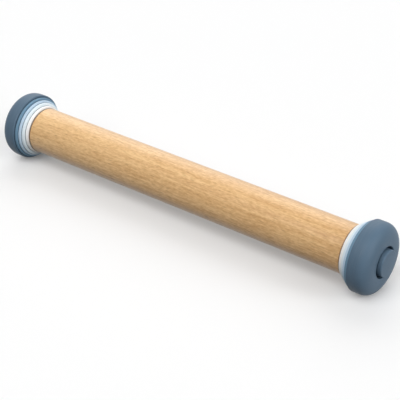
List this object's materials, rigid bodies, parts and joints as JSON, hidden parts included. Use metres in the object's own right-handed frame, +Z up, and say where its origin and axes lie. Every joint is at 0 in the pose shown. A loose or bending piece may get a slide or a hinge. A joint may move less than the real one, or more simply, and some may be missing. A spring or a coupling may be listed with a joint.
{
  "type": "adjustable rolling pin",
  "caption": "Beech rolling pin with stacked setting rings and a large domed end disc at each end, held on by a screw-in knob, so that the roller runs at a set height above the worktop.",
  "frame": {"origin": "middle of the roller, on its axis", "axes": "+X along the roller to its right end, +Z up as the pin lies on its end discs"},
  "size_m": [0.4188, 0.063, 0.063],
  "materials": {
    "beech": "oiled beech, fine grain along the roller",
    "white": "satin",
    "pale": "satin",
    "light": "satin",
    "mid": "satin",
    "dark": "satin",
    "nylon": "natural nylon",
    "steel": "plated"
  },
  "bodies": {
    "roller": {"beech_roller": "beech", "left_hub": "nylon", "left_hub_screw": "steel", "right_hub": "nylon", "right_hub_screw": "steel"},
    "left_white_ring": {"left_white_ring": "white"},
    "left_pale_ring": {"left_pale_ring": "pale"},
    "left_light_ring": {"left_light_ring": "light"},
    "left_mid_ring": {"left_mid_ring": "mid"},
    "left_end_disc": {"left_end_disc": "dark"},
    "left_washer": {"left_washer": "nylon"},
    "left_knob": {"left_knob": "dark", "left_stem": "nylon"},
    "right_white_ring": {"right_white_ring": "white"},
    "right_pale_ring": {"right_pale_ring": "pale"},
    "right_light_ring": {"right_light_ring": "light"},
    "right_mid_ring": {"right_mid_ring": "mid"},
    "right_end_disc": {"right_end_disc": "dark"},
    "right_washer": {"right_washer": "nylon"},
    "right_knob": {"right_knob": "dark", "right_stem": "nylon"}
  },
  "joints": [
    {"name": "left_white_ring_slide", "type": "slide", "parent": "roller", "child": "left_white_ring", "axis": [-1, 0, 0], "range_m": [0, 0.021]},
    {"name": "left_pale_ring_slide", "type": "slide", "parent": "roller", "child": "left_pale_ring", "axis": [-1, 0, 0], "range_m": [0, 0.025]},
    {"name": "left_light_ring_slide", "type": "slide", "parent": "roller", "child": "left_light_ring", "axis": [-1, 0, 0], "range_m": [0, 0.029]},
    {"name": "left_mid_ring_slide", "type": "slide", "parent": "roller", "child": "left_mid_ring", "axis": [-1, 0, 0], "range_m": [0, 0.033]},
    {"name": "left_end_disc_slide", "type": "slide", "parent": "roller", "child": "left_end_disc", "axis": [-1, 0, 0], "range_m": [0, 0.037]},
    {"name": "left_washer_slide", "type": "slide", "parent": "roller", "child": "left_washer", "axis": [-1, 0, 0], "range_m": [0, 0.048]},
    {"name": "left_knob_turn", "type": "hinge", "parent": "left_washer", "child": "left_knob", "pos_m": [-0.1754, 0, 0], "axis": [-1, 0, 0], "range_deg": [0, 2160]},
    {"name": "right_white_ring_slide", "type": "slide", "parent": "roller", "child": "right_white_ring", "axis": [1, 0, 0], "range_m": [0, 0.021]},
    {"name": "right_pale_ring_slide", "type": "slide", "parent": "roller", "child": "right_pale_ring", "axis": [1, 0, 0], "range_m": [0, 0.025]},
    {"name": "right_light_ring_slide", "type": "slide", "parent": "roller", "child": "right_light_ring", "axis": [1, 0, 0], "range_m": [0, 0.029]},
    {"name": "right_mid_ring_slide", "type": "slide", "parent": "roller", "child": "right_mid_ring", "axis": [1, 0, 0], "range_m": [0, 0.033]},
    {"name": "right_end_disc_slide", "type": "slide", "parent": "roller", "child": "right_end_disc", "axis": [1, 0, 0], "range_m": [0, 0.037]},
    {"name": "right_washer_slide", "type": "slide", "parent": "roller", "child": "right_washer", "axis": [1, 0, 0], "range_m": [0, 0.048]},
    {"name": "right_knob_turn", "type": "hinge", "parent": "right_washer", "child": "right_knob", "pos_m": [0.1754, 0, 0], "axis": [1, 0, 0], "range_deg": [0, 2160]}
  ],
  "couplings": [
    {"joint": "left_white_ring_slide", "follows": "left_washer_slide", "ratio": 0.4375},
    {"joint": "left_pale_ring_slide", "follows": "left_washer_slide", "ratio": 0.52083},
    {"joint": "left_light_ring_slide", "follows": "left_washer_slide", "ratio": 0.60417},
    {"joint": "left_mid_ring_slide", "follows": "left_washer_slide", "ratio": 0.6875},
    {"joint": "left_end_disc_slide", "follows": "left_washer_slide", "ratio": 0.77083},
    {"joint": "left_knob_turn", "follows": "left_washer_slide", "rad_per_m": 785.4},
    {"joint": "right_white_ring_slide", "follows": "right_washer_slide", "ratio": 0.4375},
    {"joint": "right_pale_ring_slide", "follows": "right_washer_slide", "ratio": 0.52083},
    {"joint": "right_light_ring_slide", "follows": "right_washer_slide", "ratio": 0.60417},
    {"joint": "right_mid_ring_slide", "follows": "right_washer_slide", "ratio": 0.6875},
    {"joint": "right_end_disc_slide", "follows": "right_washer_slide", "ratio": 0.77083},
    {"joint": "right_knob_turn", "follows": "right_washer_slide", "rad_per_m": 785.4}
  ]
}
